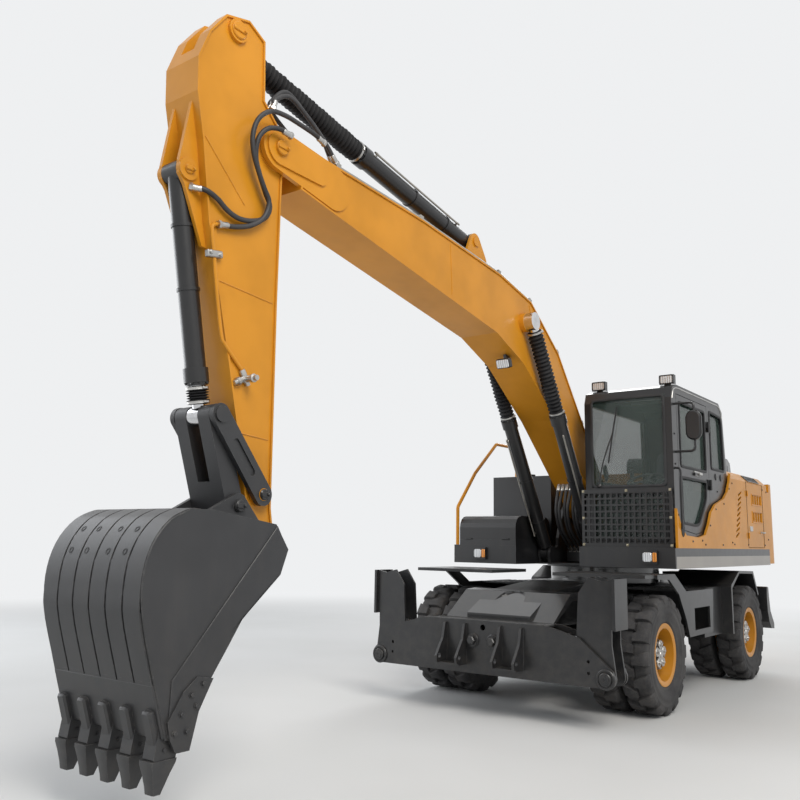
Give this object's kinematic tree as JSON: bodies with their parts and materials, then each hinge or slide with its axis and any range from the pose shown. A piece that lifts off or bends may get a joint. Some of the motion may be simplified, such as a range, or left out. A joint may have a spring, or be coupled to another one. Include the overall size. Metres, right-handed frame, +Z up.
{
  "type": "wheeled excavator",
  "caption": "Wheeled excavator with twin tyres, outriggers, rear blade, slewing upper structure with cab, and a boom, arm and bucket on hydraulic cylinders.",
  "frame": {"origin": "middle of the footprint's bounding box at ground level; the slewing axis stands 1.89 m behind it and 0.119 m to the machine's right", "axes": "-Y is the machine's front where the bucket is, +X its left where the cab is, +Z up from the ground"},
  "size_m": [2.742, 9.322, 4.962],
  "materials": {
    "orange_paint": "gloss paint, lightly worn",
    "charcoal_paint": "dark satin paint",
    "black_paint": "black satin paint",
    "worn_steel": "dark cast steel, dusty",
    "bright_steel": "polished rod",
    "tyre_rubber": "matt, dusty",
    "bellows_rubber": "ribbed fabric rubber",
    "cab_glass": "tinted clear",
    "interior_plastic": "textured",
    "cushion_cloth": "woven",
    "engine_iron": "bare",
    "rail_paint": "gloss paint"
  },
  "bodies": {
    "undercarriage": {"chassis": "charcoal_paint", "stabiliser_beam": "charcoal_paint", "front_axle": "charcoal_paint", "rear_axle": "charcoal_paint", "fenders": "charcoal_paint"},
    "knuckle_left": {"knuckle_left": "charcoal_paint"},
    "knuckle_right": {"knuckle_right": "charcoal_paint"},
    "steering_rod": {"steering_rod": "bright_steel"},
    "wheels_front_left": {"rims_front_left": "orange_paint", "tyres_front_left": "tyre_rubber"},
    "wheels_front_right": {"rims_front_right": "orange_paint", "tyres_front_right": "tyre_rubber"},
    "wheels_rear_left": {"rims_rear_left": "orange_paint", "tyres_rear_left": "tyre_rubber"},
    "wheels_rear_right": {"rims_rear_right": "orange_paint", "tyres_rear_right": "tyre_rubber"},
    "leg_left": {"leg_left": "charcoal_paint"},
    "leg_right": {"leg_right": "charcoal_paint"},
    "leg_barrel_left": {"leg_barrel_left": "black_paint"},
    "leg_barrel_right": {"leg_barrel_right": "black_paint"},
    "leg_rod_left": {"leg_rod_left": "bright_steel"},
    "leg_rod_right": {"leg_rod_right": "bright_steel"},
    "blade": {"blade": "charcoal_paint"},
    "blade_arms": {"blade_arms": "charcoal_paint"},
    "blade_links": {"blade_links": "charcoal_paint"},
    "blade_barrel": {"blade_barrel": "black_paint"},
    "blade_rod": {"blade_rod": "bright_steel"},
    "upper_structure": {"deck": "charcoal_paint", "counterweight": "orange_paint", "bodywork": "orange_paint", "engine": "engine_iron", "tanks": "charcoal_paint", "rails": "rail_paint", "lamps": "black_paint", "cab_shell": "black_paint", "cab_glass": "cab_glass", "cab_interior": "interior_plastic", "driver_cushion": "cushion_cloth", "mesh_guard": "black_paint"},
    "cab_door": {"cab_door": "black_paint", "door_glass": "cab_glass"},
    "engine_hood": {"engine_hood": "black_paint"},
    "side_door": {"side_door": "orange_paint"},
    "toolbox_lid": {"toolbox_lid": "black_paint"},
    "boom": {"boom": "orange_paint", "boom_pipes": "bright_steel"},
    "boom_barrels": {"boom_barrels": "black_paint", "boom_bellows": "bellows_rubber"},
    "boom_rods": {"boom_rods": "bright_steel"},
    "arm": {"arm": "orange_paint"},
    "arm_barrel": {"arm_barrel": "black_paint", "arm_bellows": "bellows_rubber"},
    "arm_rod": {"arm_rod": "bright_steel"},
    "bucket": {"bucket": "worn_steel"},
    "bucket_barrel": {"bucket_barrel": "black_paint"},
    "bucket_rod": {"bucket_rod": "bright_steel"},
    "rocker": {"rocker": "worn_steel"},
    "link": {"link": "worn_steel"}
  },
  "joints": [
    {"name": "steer_left", "type": "hinge", "parent": "undercarriage", "child": "knuckle_left", "pos_m": [0.441, 0.39, 0.527], "axis": [0, 0, 1], "range_deg": [-30, 30]},
    {"name": "wheels_front_left_spin", "type": "hinge", "parent": "knuckle_left", "child": "wheels_front_left", "pos_m": [0.829, 0.39, 0.527], "axis": [1, 0, 0], "continuous": true},
    {"name": "wheels_rear_left_spin", "type": "hinge", "parent": "undercarriage", "child": "wheels_rear_left", "pos_m": [0.829, 3.17, 0.527], "axis": [1, 0, 0], "continuous": true},
    {"name": "steer_right", "type": "hinge", "parent": "undercarriage", "child": "knuckle_right", "pos_m": [-0.679, 0.39, 0.527], "axis": [0, 0, 1], "range_deg": [-30, 30]},
    {"name": "wheels_front_right_spin", "type": "hinge", "parent": "knuckle_right", "child": "wheels_front_right", "pos_m": [-1.067, 0.39, 0.527], "axis": [1, 0, 0], "continuous": true},
    {"name": "wheels_rear_right_spin", "type": "hinge", "parent": "undercarriage", "child": "wheels_rear_right", "pos_m": [-1.067, 3.17, 0.527], "axis": [1, 0, 0], "continuous": true},
    {"name": "steering_rod_travel", "type": "slide", "parent": "undercarriage", "child": "steering_rod", "axis": [1, 0, 0], "range_m": [-0.115, 0.115]},
    {"name": "leg_left_swing", "type": "hinge", "parent": "undercarriage", "child": "leg_left", "pos_m": [1.031, -0.6375, 0.435], "axis": [0, 1, 0], "range_deg": [0, 117.5]},
    {"name": "leg_barrel_left_swing", "type": "hinge", "parent": "undercarriage", "child": "leg_barrel_left", "pos_m": [-0.016, -0.6375, 0.64], "axis": [0, 1, 0], "range_deg": [0, 12.5]},
    {"name": "leg_rod_left_travel", "type": "slide", "parent": "leg_barrel_left", "child": "leg_rod_left", "axis": [0.9943, 0, 0.1064], "range_m": [0, 0.57]},
    {"name": "leg_right_swing", "type": "hinge", "parent": "undercarriage", "child": "leg_right", "pos_m": [-1.269, -0.6375, 0.435], "axis": [0, -1, 0], "range_deg": [0, 117.5]},
    {"name": "leg_barrel_right_swing", "type": "hinge", "parent": "undercarriage", "child": "leg_barrel_right", "pos_m": [-0.222, -0.6375, 0.64], "axis": [0, -1, 0], "range_deg": [0, 12.5]},
    {"name": "leg_rod_right_travel", "type": "slide", "parent": "leg_barrel_right", "child": "leg_rod_right", "axis": [-0.9943, 0, 0.1064], "range_m": [0, 0.57]},
    {"name": "blade_arms_swing", "type": "hinge", "parent": "undercarriage", "child": "blade_arms", "pos_m": [-0.119, 3.495, 0.64], "axis": [-1, 0, 0], "range_deg": [0, 81]},
    {"name": "blade_links_swing", "type": "hinge", "parent": "undercarriage", "child": "blade_links", "pos_m": [-0.119, 3.495, 0.9], "axis": [-1, 0, 0], "range_deg": [0, 82]},
    {"name": "blade_level", "type": "hinge", "parent": "blade_arms", "child": "blade", "pos_m": [-0.119, 3.906, 0.75], "axis": [-1, 0, 0], "range_deg": [-82, 0]},
    {"name": "blade_barrel_swing", "type": "hinge", "parent": "undercarriage", "child": "blade_barrel", "pos_m": [-0.119, 3.49, 1.09], "axis": [-1, 0, 0], "range_deg": [0, 24]},
    {"name": "blade_rod_travel", "type": "slide", "parent": "blade_barrel", "child": "blade_rod", "axis": [0, 0.5332, -0.846], "range_m": [0, 0.24]},
    {"name": "slew", "type": "hinge", "parent": "undercarriage", "child": "upper_structure", "pos_m": [-0.119, 1.89, 1.272], "axis": [0, 0, 1], "continuous": true},
    {"name": "cab_door_swing", "type": "hinge", "parent": "upper_structure", "child": "cab_door", "pos_m": [1.118, 1.904, 2.3], "axis": [0, 0, 1], "range_deg": [0, 160]},
    {"name": "engine_hood_swing", "type": "hinge", "parent": "upper_structure", "child": "engine_hood", "pos_m": [-0.119, 4.077, 2.382], "axis": [-1, 0, 0], "range_deg": [0, 75]},
    {"name": "side_door_swing", "type": "hinge", "parent": "upper_structure", "child": "side_door", "pos_m": [1.141, 3.214, 1.88], "axis": [0, 0, -1], "range_deg": [0, 110]},
    {"name": "toolbox_lid_swing", "type": "hinge", "parent": "upper_structure", "child": "toolbox_lid", "pos_m": [-0.919, 0.682, 1.5483], "axis": [1, 0, 0], "range_deg": [0, 70]},
    {"name": "boom_swing", "type": "hinge", "parent": "upper_structure", "child": "boom", "pos_m": [-0.219, 1.79, 1.9], "axis": [-1, 0, 0], "range_deg": [-54, 43]},
    {"name": "boom_barrels_swing", "type": "hinge", "parent": "upper_structure", "child": "boom_barrels", "pos_m": [-0.219, 1.23, 1.4], "axis": [-1, 0, 0], "range_deg": [-53, 42.5]},
    {"name": "boom_rods_travel", "type": "slide", "parent": "boom_barrels", "child": "boom_rods", "axis": [0, -0.5167, 0.8562], "range_m": [-0.64, 0.51], "deforming": ["boom_bellows"]},
    {"name": "arm_swing", "type": "hinge", "parent": "boom", "child": "arm", "pos_m": [-0.219, -3.58, 4.14], "axis": [1, 0, 0], "range_deg": [-88, 31]},
    {"name": "arm_barrel_swing", "type": "hinge", "parent": "boom", "child": "arm_barrel", "pos_m": [-0.219, -0.91, 4.3], "axis": [1, 0, 0], "range_deg": [-5, 2]},
    {"name": "arm_rod_travel", "type": "slide", "parent": "arm_barrel", "child": "arm_rod", "axis": [0, -0.9853, 0.1707], "range_m": [-1.01, 0.36], "deforming": ["arm_bellows"]},
    {"name": "bucket_swing", "type": "hinge", "parent": "arm", "child": "bucket", "pos_m": [-0.219, -3.53, 1.37], "axis": [1, 0, 0], "range_deg": [0, 165]},
    {"name": "rocker_swing", "type": "hinge", "parent": "arm", "child": "rocker", "pos_m": [-0.219, -3.6, 1.78], "axis": [1, 0, 0], "range_deg": [0, 114.5]},
    {"name": "link_swing", "type": "hinge", "parent": "bucket", "child": "link", "pos_m": [-0.219, -3.8, 1.7], "axis": [1, 0, 0], "range_deg": [-120, 0]},
    {"name": "bucket_barrel_swing", "type": "hinge", "parent": "arm", "child": "bucket_barrel", "pos_m": [-0.219, -4.26, 3.76], "axis": [1, 0, 0], "range_deg": [-2, 0]},
    {"name": "bucket_rod_travel", "type": "slide", "parent": "bucket_barrel", "child": "bucket_rod", "axis": [0, 0.1823, -0.9832], "range_m": [0, 1.02]}
  ],
  "couplings": [
    {"joint": "steer_right", "follows": "steer_left", "ratio": 1},
    {"joint": "steering_rod_travel", "follows": "steer_left", "m_per_rad": 0.195},
    {"joint": "leg_barrel_left_swing", "follows": "leg_left_swing", "ratio": 0.106},
    {"joint": "leg_rod_left_travel", "follows": "leg_left_swing", "m_per_rad": 0.2765},
    {"joint": "leg_barrel_right_swing", "follows": "leg_right_swing", "ratio": 0.106},
    {"joint": "leg_rod_right_travel", "follows": "leg_right_swing", "m_per_rad": 0.2765},
    {"joint": "blade_links_swing", "follows": "blade_arms_swing", "ratio": 1},
    {"joint": "blade_level", "follows": "blade_arms_swing", "ratio": -1},
    {"joint": "blade_barrel_swing", "follows": "blade_arms_swing", "ratio": 0.288},
    {"joint": "blade_rod_travel", "follows": "blade_arms_swing", "m_per_rad": 0.1607},
    {"joint": "boom_barrels_swing", "follows": "boom_swing", "ratio": 0.976},
    {"joint": "boom_rods_travel", "follows": "boom_swing", "m_per_rad": 0.6645},
    {"joint": "arm_barrel_swing", "follows": "arm_swing", "ratio": 0.052},
    {"joint": "arm_rod_travel", "follows": "arm_swing", "m_per_rad": 0.654},
    {"joint": "rocker_swing", "follows": "bucket_swing", "ratio": 0.6926},
    {"joint": "link_swing", "follows": "bucket_swing", "ratio": -0.7255},
    {"joint": "bucket_barrel_swing", "follows": "bucket_swing", "ratio": -0.0106},
    {"joint": "bucket_rod_travel", "follows": "bucket_swing", "m_per_rad": 0.352}
  ]
}
